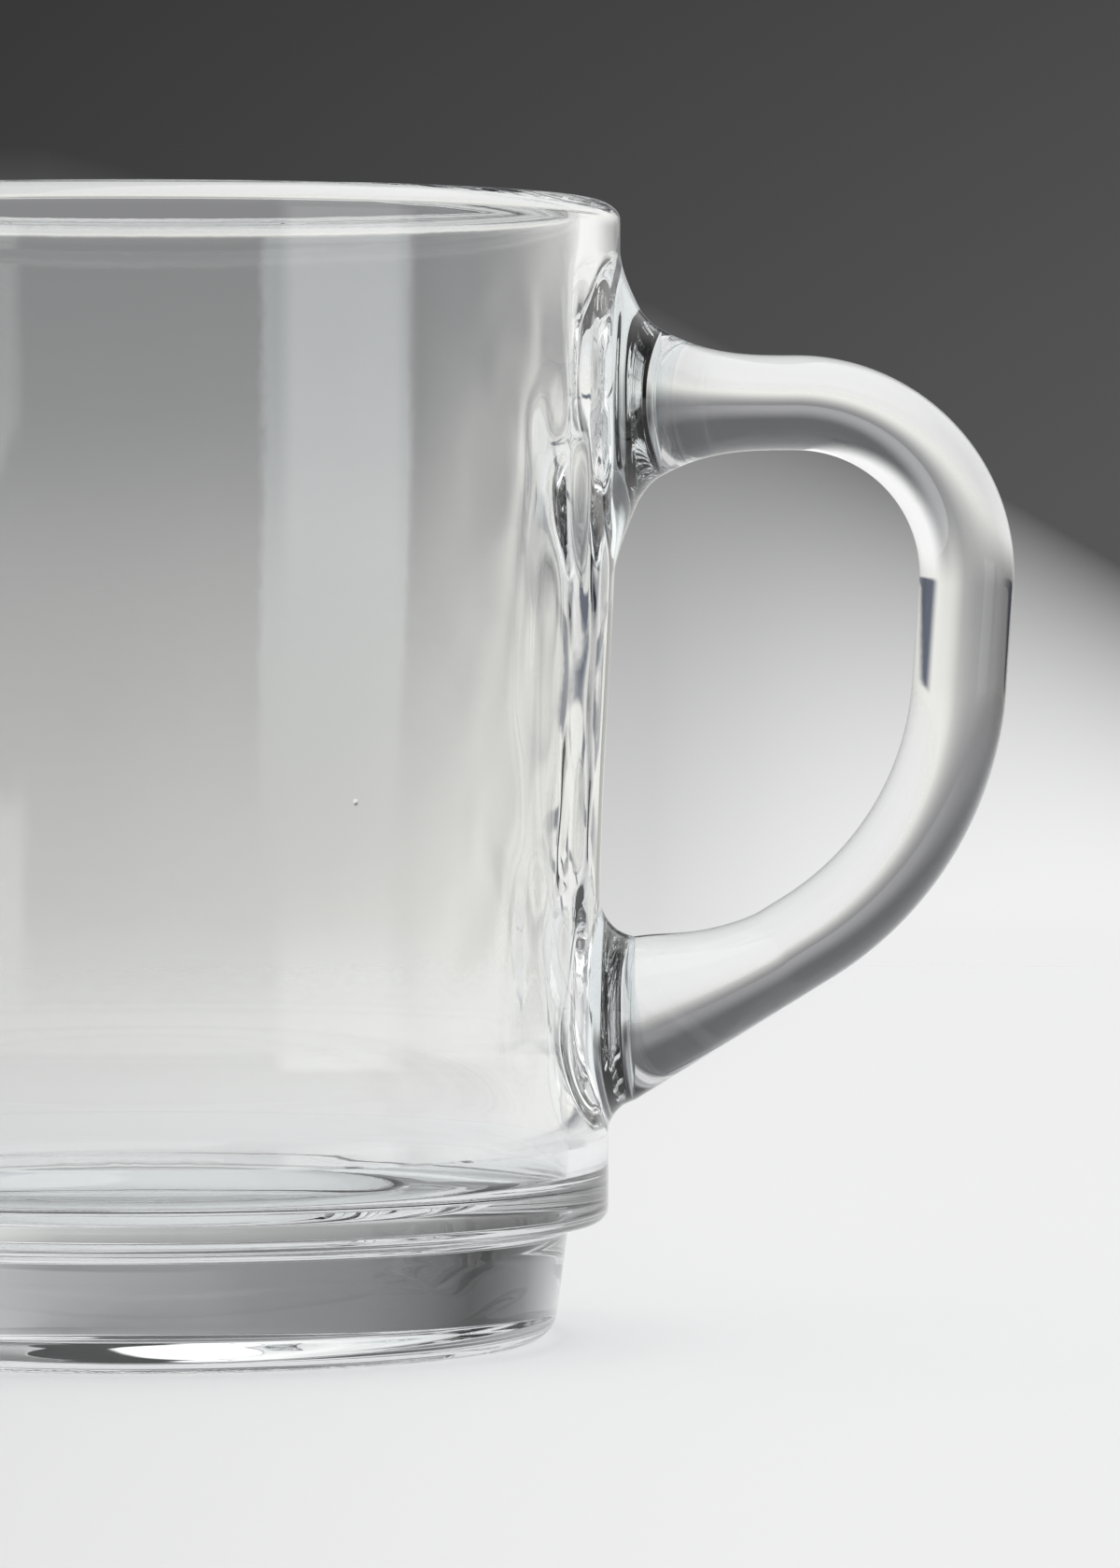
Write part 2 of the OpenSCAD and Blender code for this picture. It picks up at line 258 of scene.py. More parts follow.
def wall_radius(m, z):
    """Outer radius of the wall at height z: eased from the waist up to the rim, and from the low flare down
    to the base."""
    flare_top_z = m.bowl.height - m.bowl.flare_drop
    up = (m.bowl.rim_r - m.bowl.waist_r) * ease((z - m.bowl.waist_z) / (flare_top_z - m.bowl.waist_z))
    low_share = (m.bowl.low_flare_z - z) / (m.bowl.low_flare_z - m.bowl.joint_z)
    down = (m.base.base_r - m.bowl.waist_r) * ease(low_share)
    return m.bowl.waist_r + up + down


def bore_radius(m, z):
    """Inner radius of the wall at height z: the outer one less the wall, which thickens into the rim."""
    blend_z = m.bowl.height - m.bowl.rim_t / 2 - m.bowl.rim_blend_h
    bead = (m.bowl.rim_t - m.bowl.wall_t) * ease((z - blend_z) / m.bowl.rim_blend_h)
    return wall_radius(m, z) - m.bowl.wall_t - bead


def turned(radii, heights):
    """Rows of points: each pair of a radius and a height is carried round the mug's axis."""
    turn = 2 * pi * np.arange(TURN_COLUMNS) / TURN_COLUMNS
    r, z = np.broadcast_arrays(np.asarray(radii)[:, None], np.asarray(heights)[:, None] + 0 * turn)
    return np.stack([r * np.cos(turn), r * np.sin(turn), z], -1)


def streaked_bore(m, points):
    """The inner wall with the marks of the hot joints: upright streaks, two sines of the turn, shifted by
    sines of the height, that die away round the handle's plane, at the rim and at the base, and a long drop,
    a bell in turn and height, on each side of the upper joint."""
    turn = np.arctan2(points[..., 1], points[..., 0])
    z = points[..., 2] / MM
    ends = ease((m.bowl.height / MM - STREAK_TOP[0] - z) / STREAK_TOP[1])
    ends = ends * ease((z - STREAK_FOOT[0]) / STREAK_FOOT[1])
    joints = 0.35 + sum(np.exp(-((z - middle) / spread) ** 2) for middle, spread in STREAK_JOINTS)
    drift = 1.3 * np.sin(z / 6.1 + 0.6) + 0.8 * np.sin(z / 2.7 + 3 * turn)
    streaks = np.sin(21 * turn + drift) + 0.6 * np.sin(37 * turn - 0.7 * drift + 1.1)
    aside = np.abs(turn) - DROP_TURN - (z - DROP_Z) * DROP_LEAN
    drop = np.exp(-(aside / DROP_HALF_TURN) ** 2 - ((z - DROP_Z) / DROP_HALF_H) ** 2)
    near = np.exp(-(turn / STREAK_TURN) ** 2)
    step = m.look.streak_h * near * ends * joints * streaks + m.look.drop_h * drop
    inwards = 1 - step / np.hypot(points[..., 0], points[..., 1])
    return points * np.stack([inwards, inwards, np.ones_like(step)], -1)


def wall_points(m, turn, z):
    """Points of the wall's outer surface at the given turns about the axis and heights."""
    r = wall_radius(m, z)
    return np.stack([r * np.cos(turn), r * np.sin(turn), z], -1)


def patch(points, slot=GLASS, keep=None):
    """A grid of points whose columns close to a ring, with its material slot. A cell's corners are a point,
    the next in its row and the two below them, and keep says which cells there are."""
    rows, columns = points.shape[:2]
    row = np.arange(rows - 1)[:, None] * columns
    column = np.arange(columns)[None, :]
    after = (column + 1) % columns
    faces = np.stack([row + column, row + after, row + columns + after, row + columns + column], -1)
    chosen = faces.reshape(-1, 4) if keep is None else faces[keep]
    return SimpleNamespace(points=points.reshape(-1, 3), faces=chosen, slot=slot)


def disc(loop):
    """The flat joint face inside a loop: rows of points from it to its middle, at even steps."""
    middle = loop.mean(0)
    return patch(middle + (loop[None] - middle) * np.linspace(1, 0, 6)[:, None, None], JOINT)


def make_piece(name, patches, materials, cad_node):
    """One closed mesh object from its patches."""
    starts = np.cumsum([0] + [len(p.points) for p in patches])
    points = np.concatenate([p.points for p in patches])
    faces = np.concatenate([p.faces + start for p, start in zip(patches, starts)])
    slots = np.concatenate([np.full(len(p.faces), p.slot) for p in patches])
    used, faces = np.unique(faces, return_inverse=True)
    faces = faces.reshape(-1, 4)
    mesh = bpy.data.meshes.new(name)
    mesh.vertices.add(len(used))
    mesh.vertices.foreach_set("co", points[used].ravel())
    mesh.loops.add(faces.size)
    mesh.loops.foreach_set("vertex_index", faces.ravel())
    mesh.polygons.add(len(faces))
    mesh.polygons.foreach_set("loop_start", np.arange(0, faces.size, 4))
    mesh.polygons.foreach_set("material_index", slots)
    mesh.update(calc_edges=True)
    for material in materials:
        mesh.materials.append(material)
    finish_surface(mesh)
    piece = bpy.data.objects.new(name, mesh)
    bpy.context.scene.collection.objects.link(piece)
    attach(piece, BODY)
    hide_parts(cad_node)


def finish_surface(mesh):
    """Merges the patches' shared edges, turns all faces outwards and shades them smooth. Edges between a glass
    and a joint face are sharp, so that the glass keeps its direction there and runs on in the next piece."""
    shape = bmesh.new()
    shape.from_mesh(mesh)
    bmesh.ops.remove_doubles(shape, verts=shape.verts, dist=MERGE_DISTANCE)
    bmesh.ops.recalc_face_normals(shape, faces=shape.faces)
    shape.to_mesh(mesh)
    shape.free()
    mesh.shade_smooth()
    counts = len(mesh.polygons), len(mesh.polygons), len(mesh.loops)
    slots, sides, edges = (np.empty(count, np.int32) for count in counts)
    mesh.polygons.foreach_get("material_index", slots)
    mesh.polygons.foreach_get("loop_total", sides)
    mesh.loops.foreach_get("edge_index", edges)
    joint_faces = np.bincount(edges, np.repeat(slots == JOINT, sides))
    mesh.edges.foreach_set("use_edge_sharp", joint_faces == 1)
    mesh.update()


def rod_path(m):
    """Places of the handle's middle line, in x and z: a level arm, a bend, the straight grip, a wider bend and
    a sloping arm. The grip's length is what the height and the reach leave for it."""
    h, w = m.handle, m.weld
    lean, slope = h.grip_lean, h.lower_slope
    arm_z = m.bowl.height - h.arm_drop
    upper_face_x = float(wall_radius(m, arm_z)) + w.upper_pad_reach
    lower_face_z = m.bowl.joint_z + h.lower_root_h
    lower_face = np.array([float(wall_radius(m, lower_face_z)) + w.lower_pad_reach, lower_face_z])
    span = arm_z - lower_face_z
    upper_r, lower_r = h.upper_bend * span, h.lower_bend * span
    upper_centre = np.array([m.bowl.rim_r + h.grip_reach - h.handle_t / 2 - upper_r, arm_z - upper_r])
    grip_top = upper_centre + upper_r * np.array([cos(lean), -sin(lean)])
    bend_step = lower_r * np.array([cos(lean) - sin(slope), cos(slope) - sin(lean)])
    straights = grip_top - lower_face - bend_step
    grip_len = (straights[1] * cos(slope) - straights[0] * sin(slope)) / cos(lean + slope)
    grip_end = grip_top - grip_len * np.array([sin(lean), cos(lean)])
    return SimpleNamespace(
        arm_z=arm_z, upper_face_x=upper_face_x, upper_arm_len=upper_centre[0] - upper_face_x,
        upper_r=upper_r, upper_centre=upper_centre, grip_top=grip_top, grip_end=grip_end,
        lower_r=lower_r, lower_centre=grip_end + lower_r * np.array([-cos(lean), sin(lean)]),
        lower_face=lower_face, lower_arm_len=(straights[0] - grip_len * sin(lean)) / cos(slope),
    )


def upper_stations(m, path, s):
    """Sections of the upper arm at distances s from its pad: outer points, inner points and half widths."""
    h, w = m.handle, m.weld
    spread = np.maximum(1 - s / w.upper_spread_len, 0) ** w.upper_power
    half = (h.handle_t + (w.upper_face_h - h.handle_t) * spread) / 2
    x = path.upper_face_x + s
    wide = (h.handle_w + (w.upper_face_w - h.handle_w) * spread) / 2
    return np.stack([x, path.arm_z + half], -1), np.stack([x, path.arm_z - half], -1), wide


def bend_stations(m, centre, bend_r, turn):
    """Sections of a bend at the given turns about its centre."""
    out = np.stack([np.cos(turn), np.sin(turn)], -1)
    half, wide = m.handle.handle_t / 2, np.full(len(turn), m.handle.handle_w / 2)
    return centre + (bend_r + half) * out, centre + (bend_r - half) * out, wide


def grip_stations(m, path, u):
    """Sections of the straight grip at shares u of its length."""
    middle = path.grip_top + (path.grip_end - path.grip_top) * u[:, None]
    out = np.array([cos(m.handle.grip_lean), -sin(m.handle.grip_lean)]) * m.handle.handle_t / 2
    return middle + out, middle - out, np.full(len(u), m.handle.handle_w / 2)


def lower_stations(m, path, s):
    """Sections of the lower arm at distances s from its pad: the outer edge stays straight, the inner edge
    spreads, and the section turns from square to the arm to upright at the pad."""
    h, w = m.handle, m.weld
    spread = np.maximum(1 - s / w.lower_spread_len, 0) ** w.lower_power
    lean = h.lower_slope * ease(s / path.lower_arm_len)
    up = np.stack([-np.sin(lean), np.cos(lean)], -1) / np.cos(h.lower_slope - lean)[:, None]
    middle = path.lower_face + s[:, None] * np.array([cos(h.lower_slope), sin(h.lower_slope)])
    outer = middle - up * h.handle_t / 2
    inner = middle + up * (h.handle_t / 2 + w.lower_spread_t * spread)[:, None]
    return outer, inner, (h.handle_w + (w.lower_face_w - h.handle_w) * spread) / 2


def section_points(m, outer, inner, wide):
    """Rings of points, one for each section, from its outer and inner points and half width. Round a section
    the shares of half thickness and half width are a cosine and a sine with their size raised to a power,
    which makes the oval a little square."""
    turn = 2 * pi * np.arange(SECTION_SIDES) / SECTION_SIDES
    waves = np.array([np.cos(turn), np.sin(turn)])
    along, across = np.sign(waves) * np.abs(waves) ** m.handle.section_power
    middle, half = (outer + inner) / 2, (outer - inner) / 2
    x = middle[..., 0] + half[..., 0] * along
    z = middle[..., 1] + half[..., 1] * along
    return np.stack([x, wide * across + 0 * x, z], -1)


def pad_root(m, middle_z, rise, width):
    """A pad's end on the wall, with its outer point rise above its middle."""
    x = float(wall_radius(m, middle_z))
    return np.array([x, middle_z + rise]), np.array([x, middle_z - rise]), width / 2


def pad_points(m, face, root, u):
    """Points of a pad's skin at shares u of the way from the rod to the wall, by row and side. The distance
    from the wall falls evenly, and the section spreads by a straight and a squared share."""
    v = m.weld.straight_share * u + (1 - m.weld.straight_share) * u * u
    x = face[0][0] + (root[0][0] - face[0][0]) * u
    outer = np.stack([x, face[0][1] + (root[0][1] - face[0][1]) * v], -1)
    inner = np.stack([x, face[1][1] + (root[1][1] - face[1][1]) * v], -1)
    return section_points(m, outer, inner, face[2] + (root[2] - face[2]) * v)


def wall_meeting(m, face, root):
    """Share u at which each line of a pad's skin meets the wall, found by halving, and the points there."""
    low, high = (np.full(SECTION_SIDES, end) for end in MEETING_SHARES)
    for _ in range(40):
        middle = (low + high) / 2
        p = pad_points(m, face, root, middle[None])[0]
        outside = np.hypot(p[:, 0], p[:, 1]) > wall_radius(m, p[:, 2])
        low, high = np.where(outside, middle, low), np.where(outside, high, middle)
    return low, pad_points(m, face, root, low[None])[0]


def window_border(z_rows):
    """Turns and heights of the border of a pad's window in the wall's grid, from the middle of its first row
    round by the side of positive turns."""
    half = WINDOW_HALF_COLUMNS
    turns = 2 * pi / TURN_COLUMNS * np.arange(-half, half + 1)
    side = np.full(WINDOW_ROWS, turns[-1])
    turn = np.concatenate([turns[half:], side, turns[-2::-1], -side, turns[1:half]])
    z = np.concatenate([
        np.full(half + 1, z_rows[0]), z_rows[1:], np.full(2 * half, z_rows[-1]), z_rows[-2::-1],
        np.full(half - 1, z_rows[0]),
    ])
    return turn, z


def weld_surfaces(m, face, root, z_rows):
    """The three surfaces round a pad: its skin with a fillet that runs out on the wall, the ring of wall from
    there to the window's border, and the patch of wall under the pad."""
    meeting_u, meeting = wall_meeting(m, face, root)
    foot_turn, foot_z = np.arctan2(meeting[:, 1], meeting[:, 0]), meeting[:, 2]
    border_turn, border_z = window_border(z_rows)
    reach = np.hypot((border_turn - foot_turn) * m.bowl.rim_r, border_z - foot_z)
    out = np.minimum(m.weld.fillet_w / reach, FILLET_MOST)
    edge_turn = foot_turn + (border_turn - foot_turn) * out
    edge_z = foot_z + (border_z - foot_z) * out

    start_u = meeting_u * (1 - m.weld.fillet_share)
    skin = pad_points(m, face, root, start_u[None] * np.linspace(0, 1, 18)[:, None])
    s = np.linspace(0, 1, 15)[:, None, None]
    edge = wall_points(m, edge_turn, edge_z)
    fillet = (1 - s) ** 2 * skin[-1] + 2 * s * (1 - s) * meeting + s ** 2 * edge

    t = np.linspace(0, 1, 9)[:, None]
    ring = wall_points(m, edge_turn + (border_turn - edge_turn) * t, edge_z + (border_z - edge_z) * t)
    shrink = np.linspace(1, 0, 10)[:, None]
    middle_z = edge_z.mean()
    covered = wall_points(m, edge_turn * shrink, middle_z + (edge_z - middle_z) * shrink)
    return SimpleNamespace(skin=np.concatenate([skin, fillet[1:]]), ring=ring, covered=covered)


def wall_rows(m):
    """Heights of the wall's rows: two windows of even rows for the pads, with rows between and above."""
    w = m.weld
    lower = np.linspace(m.bowl.joint_z, w.lower_window_top, WINDOW_ROWS + 1)
    between = np.linspace(w.lower_window_top, w.upper_window_low, 24)
    upper = np.linspace(w.upper_window_low, w.upper_window_top, WINDOW_ROWS + 1)
    above = np.linspace(w.upper_window_top, m.bowl.height - m.bowl.rim_t / 2, 3)
    return lower, between, upper, above


def weld_parts(m):
    """Surfaces of the upper and the lower weld. Each end of a pad is an outer point, an inner one and a half
    width."""
    w, path, zero = m.weld, rod_path(m), np.zeros(1)
    upper_face = [part[0] for part in upper_stations(m, path, zero)]
    lower_face = [part[0] for part in lower_stations(m, path, zero)]
    lower_z = (lower_face[0][1] + lower_face[1][1]) / 2 - w.lower_pad_drop
    upper_root = pad_root(m, path.arm_z - w.upper_pad_drop, w.upper_pad_h / 2, w.upper_pad_w)
    lower_root = pad_root(m, lower_z, -w.lower_pad_h / 2, w.lower_pad_w)
    lower, _, upper, _ = wall_rows(m)
    return (
        weld_surfaces(m, upper_face, upper_root, upper[::-1]),
        weld_surfaces(m, lower_face, lower_root, lower),
    )


def rim_rows(m):
    """A quarter of an oval from the outer surface to the rim's top, a small quarter of a circle down to the
    inner surface, and a short straight below it."""
    side, drop, small = m.bowl.rim_t - m.bowl.rim_in_r, m.bowl.rim_t / 2, m.bowl.rim_in_r
    turn = np.linspace(0, pi / 2, 19)
    inner = float(bore_radius(m, m.bowl.height - drop))
    radii = [m.bowl.rim_r - side + side * np.cos(turn), inner + small - small * np.sin(turn), [inner] * 4]
    heights = [
        m.bowl.height - drop + drop * np.sin(turn),
        m.bowl.height - small + small * np.cos(turn),
        np.linspace(m.bowl.height - small, m.bowl.height - drop, 5)[1:],
    ]
    return np.concatenate(radii), np.concatenate(heights)


def joint_ring(m):
    """Rows of the level ring at which the wall and the base are one glass."""
    inner = float(bore_radius(m, m.bowl.joint_z))
    return turned(np.linspace(inner, m.base.base_r, 3), np.full(3, m.bowl.joint_z))


def round_corner(centre_x, centre_z, radius, start, end, steps=14):
    """Points of an arc between two angles in degrees."""
    turn = np.radians(np.linspace(start, end, steps))
    return np.stack([centre_x + radius * np.cos(turn), centre_z + radius * np.sin(turn)], -1)


def slope(start, end, steps=14):
    """Points of a smooth slope that starts and ends level: even in radius and eased in height."""
    u = np.linspace(0, 1, steps)
    return np.stack([start[0] + (end[0] - start[0]) * u, start[1] + (end[1] - start[1]) * ease(u)], -1)


def straight(start, end, steps):
    """Points of a straight line without its two ends."""
    u = np.linspace(0, 1, steps + 2)[1:-1, None]
    return np.array(start) * (1 - u) + np.array(end) * u


def base_outlines(m):
    """The base's upper outline, from the dish's middle to the joint, and its lower one, from there over the
    shoulder and the foot to the recess's middle."""
    b = m.base
    joint_z, bore_r = m.bowl.joint_z, float(bore_radius(m, m.bowl.joint_z))
    corner_r, corner_z = bore_r - b.floor_round_r, b.floor_z + b.floor_round_r
    dish_z = b.floor_z - b.floor_dish_h
    slope_out = b.floor_disc_r + b.floor_slope_w
    upper = np.concatenate([
        straight((0, dish_z), (b.floor_disc_r, dish_z), 10),
        slope((b.floor_disc_r, dish_z), (slope_out, b.floor_z), 20),
        straight((slope_out, b.floor_z), (corner_r, b.floor_z), 5),
        round_corner(corner_r, corner_z, b.floor_round_r, -90, 0, 20),
        straight((bore_r, corner_z), (bore_r, joint_z), 3),
        [(bore_r, joint_z)],
    ])
    edge_r, edge_z = b.base_r - b.shoulder_round_r, b.shoulder_z + b.shoulder_round_r
    fillet_r, fillet_z = b.foot_top_r + b.foot_fillet_r, b.shoulder_z - b.foot_fillet_r
    low_round = b.foot_low_r - b.foot_round_r
    recess_top = b.bearing_in_r - b.recess_side_w
    disc_out = b.recess_disc_r + b.recess_slope_w
    disc_z = b.recess_h - b.recess_disc_h
    lower = np.concatenate([
        [(b.base_r, joint_z)],
        straight((b.base_r, joint_z), (b.base_r, edge_z), 8),
        round_corner(edge_r, edge_z, b.shoulder_round_r, 0, -90),
        straight((edge_r, b.shoulder_z), (fillet_r, b.shoulder_z), 3),
        round_corner(fillet_r, fillet_z, b.foot_fillet_r, 90, 180),
        straight((b.foot_top_r, fillet_z), (b.foot_low_r, b.foot_round_r), 10),
        round_corner(low_round, b.foot_round_r, b.foot_round_r, 0, -90, 18),
        straight((low_round, 0), (b.bearing_in_r, 0), 5),
        slope((b.bearing_in_r, 0), (recess_top, b.recess_h), 20),
        straight((recess_top, b.recess_h), (disc_out, b.recess_h), 4),
        slope((disc_out, b.recess_h), (b.recess_disc_r, disc_z), 12),
        straight((b.recess_disc_r, disc_z), (0, disc_z), 10),
    ])
    return upper, lower


def capped(outline):
    """A turned surface from an outline that ends at the axis, closed there."""
    rows = turned(outline[:, 0], outline[:, 1])
    return patch(np.concatenate([rows, np.broadcast_to(rows[-1].mean(0), rows[-1:].shape)]))


class Wiring:
    """Adds nodes to a tree and links them. A value may be a number, a colour or another node's socket."""

    def __init__(self, tree):
        self.tree = tree

    def feed(self, socket, value):
        """Links a socket to a value, or sets it."""
        if isinstance(value, bpy.types.NodeSocket):
            self.tree.links.new(value, socket)
        elif value is not None:
            socket.default_value = value

    def node(self, kind, inputs=None, **settings):
        """A shader node with its settings and inputs, named or numbered."""
        made = self.tree.nodes.new(f"ShaderNode{kind}")
        for name, value in settings.items():
            setattr(made, name, value)
        for key, value in (inputs or {}).items():
            self.feed(made.inputs[key], value)
        return made

    def math(self, operation, *values):
        """The result of a Math node."""
        return self.node("Math", dict(enumerate(values)), operation=operation).outputs[0]

    def vector(self, operation, inputs):
        """The vector that a Vector Math node gives."""
        return self.node("VectorMath", inputs, operation=operation).outputs[0]

    def scaled(self, colour, factor):
        """A colour times a number."""
        return self.vector("SCALE", {0: colour, "Scale": factor})

    def parts(self, vector):
        """The x, y and z of a vector."""
        return self.node("SeparateXYZ", {0: vector}).outputs

    def place(self):
        """The place on the piece, in metres along the frame's axes."""
        return self.node("TexCoord").outputs["Object"]

    def noise(self, scale, detail):
        """A cloudy pattern over the piece, from 0 to 1."""
        inputs = {"Vector": self.place(), "Scale": scale, "Detail": detail}
        return self.node("TexNoise", inputs).outputs[0]

    def rise(self, value, low, high, start=0.0, end=1.0):
        """A smooth change from start to end while value goes from low to high."""
        inputs = {"Value": value, "From Min": low, "From Max": high, "To Min": start, "To Max": end}
        return self.node("MapRange", inputs, interpolation_type="SMOOTHSTEP").outputs["Result"]

    def band(self, value, low, high, soft_low, soft_high):
        """1 between low and high, falling smoothly to 0 over the two soft widths outside."""
        up = self.rise(value, low - soft_low, low)
        down = self.rise(value, high, high + soft_high, 1, 0)
        return self.math("MULTIPLY", up, down)

    def window(self, azimuth, elevation, across, upright):
        """1 in a soft-edged window: a band in azimuth times one in elevation."""
        return self.math("MULTIPLY", self.band(azimuth, *across), self.band(elevation, *upright))

    def line(self, value, points):
        """A broken line through the points, level outside them."""
        total = points[0][1]
        for (x0, y0), (x1, y1) in zip(points, points[1:]):
            inputs = {"Value": value, "From Min": x0, "From Max": x1, "To Min": 0.0, "To Max": y1 - y0}
            total = self.math("ADD", self.node("MapRange", inputs).outputs["Result"], total)
        return total

    def mix(self, factor, first, second):
        """A mix of two colours."""
        made = self.node("Mix", {0: factor}, data_type="RGBA")
        for number, colour in ((6, first), (7, second)):
            linked = isinstance(colour, bpy.types.NodeSocket)
            self.feed(made.inputs[number], colour if linked else (*colour, 1.0))
        return made.outputs[2]

    def group(self, build, inputs):
        """What a shared group puts out. It is built when it is first used, by the function of its name."""
        tree = bpy.data.node_groups.get(build.__name__) or build()
        return self.node("Group", inputs, node_tree=tree).outputs[0]

    def bump(self, height, distance, normal=None):
        """The normal of a surface that stands up by distance where height is 1."""
        inputs = {"Height": height, "Distance": distance, "Strength": 1.0, "Normal": normal}
        return self.node("Bump", inputs).outputs[0]


def new_group(name, inputs, output):
    """A shader node group, its wiring, the sockets of its inputs and the one that its output is fed by."""
    tree = bpy.data.node_groups.new(name, "ShaderNodeTree")
    for label, value in inputs.items():
        kind = "NodeSocketColor" if isinstance(value, tuple) else "NodeSocketFloat"
        tree.interface.new_socket(label, in_out="INPUT", socket_type=kind).default_value = value
    kind = "NodeSocketColor" if output == "Color" else "NodeSocketFloat"
    tree.interface.new_socket(output, in_out="OUTPUT", socket_type=kind)
    given, out = tree.nodes.new("NodeGroupInput").outputs, tree.nodes.new("NodeGroupOutput").inputs[output]
    return tree, Wiring(tree), given, out


def pressed_surface():
    """Faint waves of pressed glass: a slow noise and a share of a finer one."""
    tree, wire, given, out = new_group(
        "pressed_surface", {"Slow scale": 60.0, "Fine scale": 420.0, "Fine share": 0.15}, "Height")
    finer = wire.math("MULTIPLY", wire.noise(given["Fine scale"], 2), given["Fine share"])
    wire.feed(out, wire.math("ADD", wire.noise(given["Slow scale"], 1), finer))
    return tree


def glass_tone():
    """Colour of the glass: the clear tint, which drifts slowly towards the deep one, by up to a share."""
    tree, wire, given, out = new_group(
        "glass_tone", {"Clear": (1.0,) * 4, "Deep": (1.0,) * 4, "Share": 0.2, "Scale": 25.0}, "Color")
    drift = wire.rise(wire.noise(given["Scale"], 1), 0.3, 0.7)
    wire.feed(out, wire.mix(wire.math("MULTIPLY", drift, given["Share"]), given["Clear"], given["Deep"]))
    return tree


def stippled_ring():
    """Small round dots under the foot: a cell pattern, kept to the lowest part."""
    tree, wire, given, out = new_group("stippled_ring", {"Pitch": 0.65 * MM, "Top": 0.4 * MM}, "Height")
    inputs = {"Vector": wire.place(), "Scale": wire.math("DIVIDE", 1, given["Pitch"])}
    cells = wire.node("TexVoronoi", inputs, voronoi_dimensions="2D")
    dots = wire.rise(cells.outputs["Distance"], 0.15, 0.5, 1, 0)
    low = wire.rise(wire.parts(wire.place())[2], 0, given["Top"], 1, 0)
    wire.feed(out, wire.math("MULTIPLY", dots, low))
    return tree


def wall_seed():
    """A seed, a tiny bubble in the wall: 1 at its place, falling smoothly to 0 at its radius, drawn out."""
    tree, wire, given, out = new_group("wall_seed", {"Radius": 0.4 * MM}, "Height")
    off = wire.vector("SUBTRACT", {0: wire.place(), 1: SEED_PLACE})
    flat = wire.vector("MULTIPLY", {0: off, 1: SEED_SHAPE})
    away = wire.node("VectorMath", {0: flat}, operation="LENGTH").outputs["Value"]
    wire.feed(out, wire.rise(away, 0, given["Radius"], 1, 0))
    return tree


def new_material(name):
    """An empty node material, its wiring and the socket of its surface."""
    material = bpy.data.materials.new(name)
    material.use_nodes = True
    material.node_tree.nodes.clear()
    wire = Wiring(material.node_tree)
    return material, wire, wire.node("OutputMaterial").inputs["Surface"]


def glass_material(name, look, tint, deep_share, slow_scale, detail=None):
    """Clear pressed glass with faint waves. The detail is a group with a height, its setting and the bump."""
    material, wire, out = new_material(name)
    tints = {"Clear": (*tint, 1.0), "Deep": (*look.deep_tint, 1.0), "Share": deep_share}
    colour = wire.group(glass_tone, tints)
    normal = wire.bump(wire.group(pressed_surface, {"Slow scale": slow_scale}), look.wave_h)
    if detail:
        group, setting, height = detail
        normal = wire.bump(wire.group(group, {0: setting}), height, normal)
    glass = wire.node("BsdfPrincipled", {
        "Transmission Weight": 1.0, "Metallic": 0.0, "Roughness": 0.0, "IOR": GLASS_IOR,
        "Base Color": colour, "Normal": normal,
    })
    wire.feed(out, glass.outputs[0])
    return material


def joint_material(name):
    """Where two pieces are fused, the glass runs on and no surface shows."""
    material, wire, out = new_material(name)
    wire.feed(out, wire.node("BsdfTransparent", {"Color": (1.0, 1.0, 1.0, 1.0)}).outputs[0])
    return material


def glass_and_joint(look, kind):
    """The materials of a piece, made when they are first asked for: its glass and that of its fused faces."""
    glass = {
        "body": (look.clear_tint, 0.25, 70.0, (wall_seed, look.seed_r, look.seed_r * SEED_RISE)),
        "base": (look.base_tint, 0.25, 70.0, (stippled_ring, look.dot_pitch, look.dot_h)),
        "rod": (look.clear_tint, 0.35, 110.0),
        "pad": (look.pad_tint, 0.3, 160.0),
    }
    made, name = bpy.data.materials, f"clear_{kind}_glass"
    return [
        made.get(name) or glass_material(name, look, *glass[kind]),
        made.get("fused_joint") or joint_material("fused_joint"),
    ]


class MUG_OT_bowl(bpy.types.Operator):
    """Build the wall, its rim and the two places where the handle is fused to it"""

    bl_idname = "mug.bowl"
    bl_label = "Bowl"

    def execute(self, context):
        m = context.scene.mug
        upper_weld, lower_weld = weld_parts(m)
        lower, between, upper, above = wall_rows(m)
        heights = np.concatenate([lower, between[1:], upper[1:], above[1:]])
        keep = np.ones((len(heights) - 1, TURN_COLUMNS), bool)
        near = np.r_[0:WINDOW_HALF_COLUMNS, TURN_COLUMNS - WINDOW_HALF_COLUMNS:TURN_COLUMNS]
        upper_start = len(lower) + len(between) - 2
        keep[np.ix_(np.arange(WINDOW_ROWS), near)] = False
        keep[np.ix_(np.arange(upper_start, upper_start + WINDOW_ROWS), near)] = False
        outside = turned(wall_radius(m, heights), heights)
        inside_z = np.linspace(m.bowl.joint_z, m.bowl.height - m.bowl.rim_t / 2, 90)
        inside = streaked_bore(m, turned(bore_radius(m, inside_z), inside_z))
        patches = [
            patch(outside, keep=keep), patch(turned(*rim_rows(m))), patch(inside), patch(joint_ring(m), JOINT),
            patch(upper_weld.ring), patch(upper_weld.covered, JOINT),
            patch(lower_weld.ring), patch(lower_weld.covered, JOINT),
        ]
        make_piece("glass_bowl", patches, glass_and_joint(m.look, "body"), "bowl")
        return {"FINISHED"}


class MUG_OT_base(bpy.types.Operator):
    """Build the thick floor with its dish, the stacking shoulder, the foot and the recess"""

    bl_idname = "mug.base"
    bl_label = "Base"

    def execute(self, context):
        m = context.scene.mug
        upper, lower = base_outlines(m)
        patches = [capped(upper[::-1]), capped(lower), patch(joint_ring(m), JOINT)]
        make_piece("glass_base", patches, glass_and_joint(m.look, "base"), "base")
        return {"FINISHED"}


